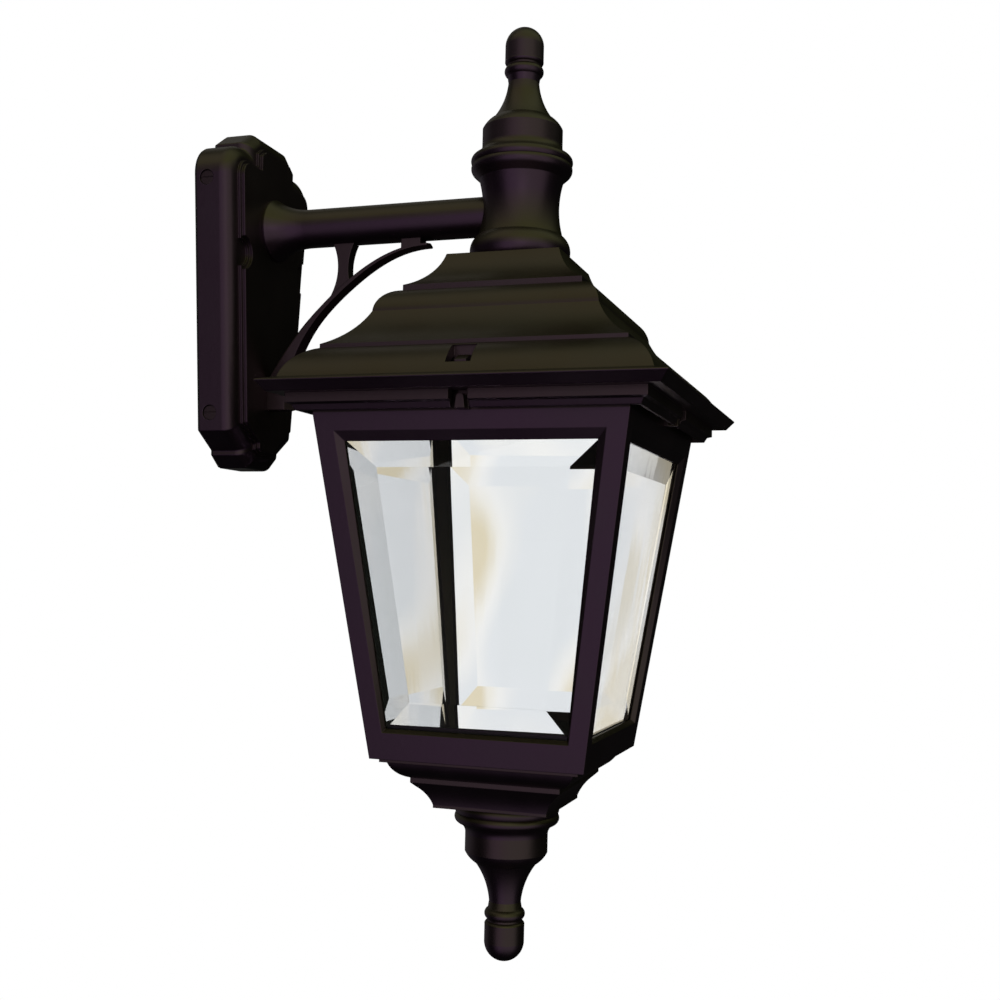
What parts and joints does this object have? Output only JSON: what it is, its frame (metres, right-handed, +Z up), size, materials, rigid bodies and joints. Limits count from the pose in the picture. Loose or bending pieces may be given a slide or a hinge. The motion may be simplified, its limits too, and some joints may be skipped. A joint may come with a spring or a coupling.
{
  "type": "hanging wall lantern",
  "caption": "Hanging outdoor wall lantern: shield plate, arm with scroll brace, tiered square roof with finial, and a tapered bevelled-glass body that pulls down to reach the lamp.",
  "frame": {"origin": "on the wall plane, midway between the two fixing holes of the mounting strap", "axes": "+Z up, +Y into the wall, the lantern hangs in front of it towards -Y, +X to the right seen from the front"},
  "size_m": [0.204, 0.276, 0.5001],
  "materials": {
    "moulded_black": "fine-grained satin black",
    "painted_black": "satin black powder coat",
    "zinc_steel": "zinc plated",
    "clear_glass": "clear, bevelled and polished",
    "gasket_rubber": "matt",
    "terminal_plastic": "matt",
    "brass": "plain",
    "glazed_ceramic": "glazed",
    "lead_sheath": "smooth"
  },
  "bodies": {
    "bracket": {"wall_plate": "moulded_black", "wall_gasket": "gasket_rubber", "mounting_strap": "zinc_steel", "strap_arms_upper": "zinc_steel", "strap_arms_lower": "zinc_steel", "cover_screws": "painted_black", "terminal_block": "terminal_plastic", "terminal_screws": "brass", "arm": "painted_black", "arm_washer": "zinc_steel", "arm_nut": "zinc_steel", "scroll_brace": "painted_black", "brace_screws": "zinc_steel", "neck": "moulded_black", "top_finial": "moulded_black", "stem_tube": "zinc_steel", "stem_washer": "zinc_steel", "stem_nut": "zinc_steel", "lamp_lead": "lead_sheath", "lampholder_body": "glazed_ceramic", "lampholder_shell": "brass", "lampholder_contact": "brass", "roof": "moulded_black"},
    "lantern_body": {"body_frame": "moulded_black", "latch_front": "moulded_black", "latch_right": "moulded_black", "latch_back": "moulded_black", "latch_left": "moulded_black", "glass_front": "clear_glass", "glass_right": "clear_glass", "glass_back": "clear_glass", "glass_left": "clear_glass", "base_moulding": "moulded_black", "bottom_finial": "moulded_black", "tie_screw": "painted_black"}
  },
  "joints": [
    {"name": "body_drop", "type": "slide", "parent": "bracket", "child": "lantern_body", "axis": [0, 0, -1], "range_m": [0, 0.12], "deforming": ["latch_front", "latch_right", "latch_back", "latch_left"]}
  ]
}
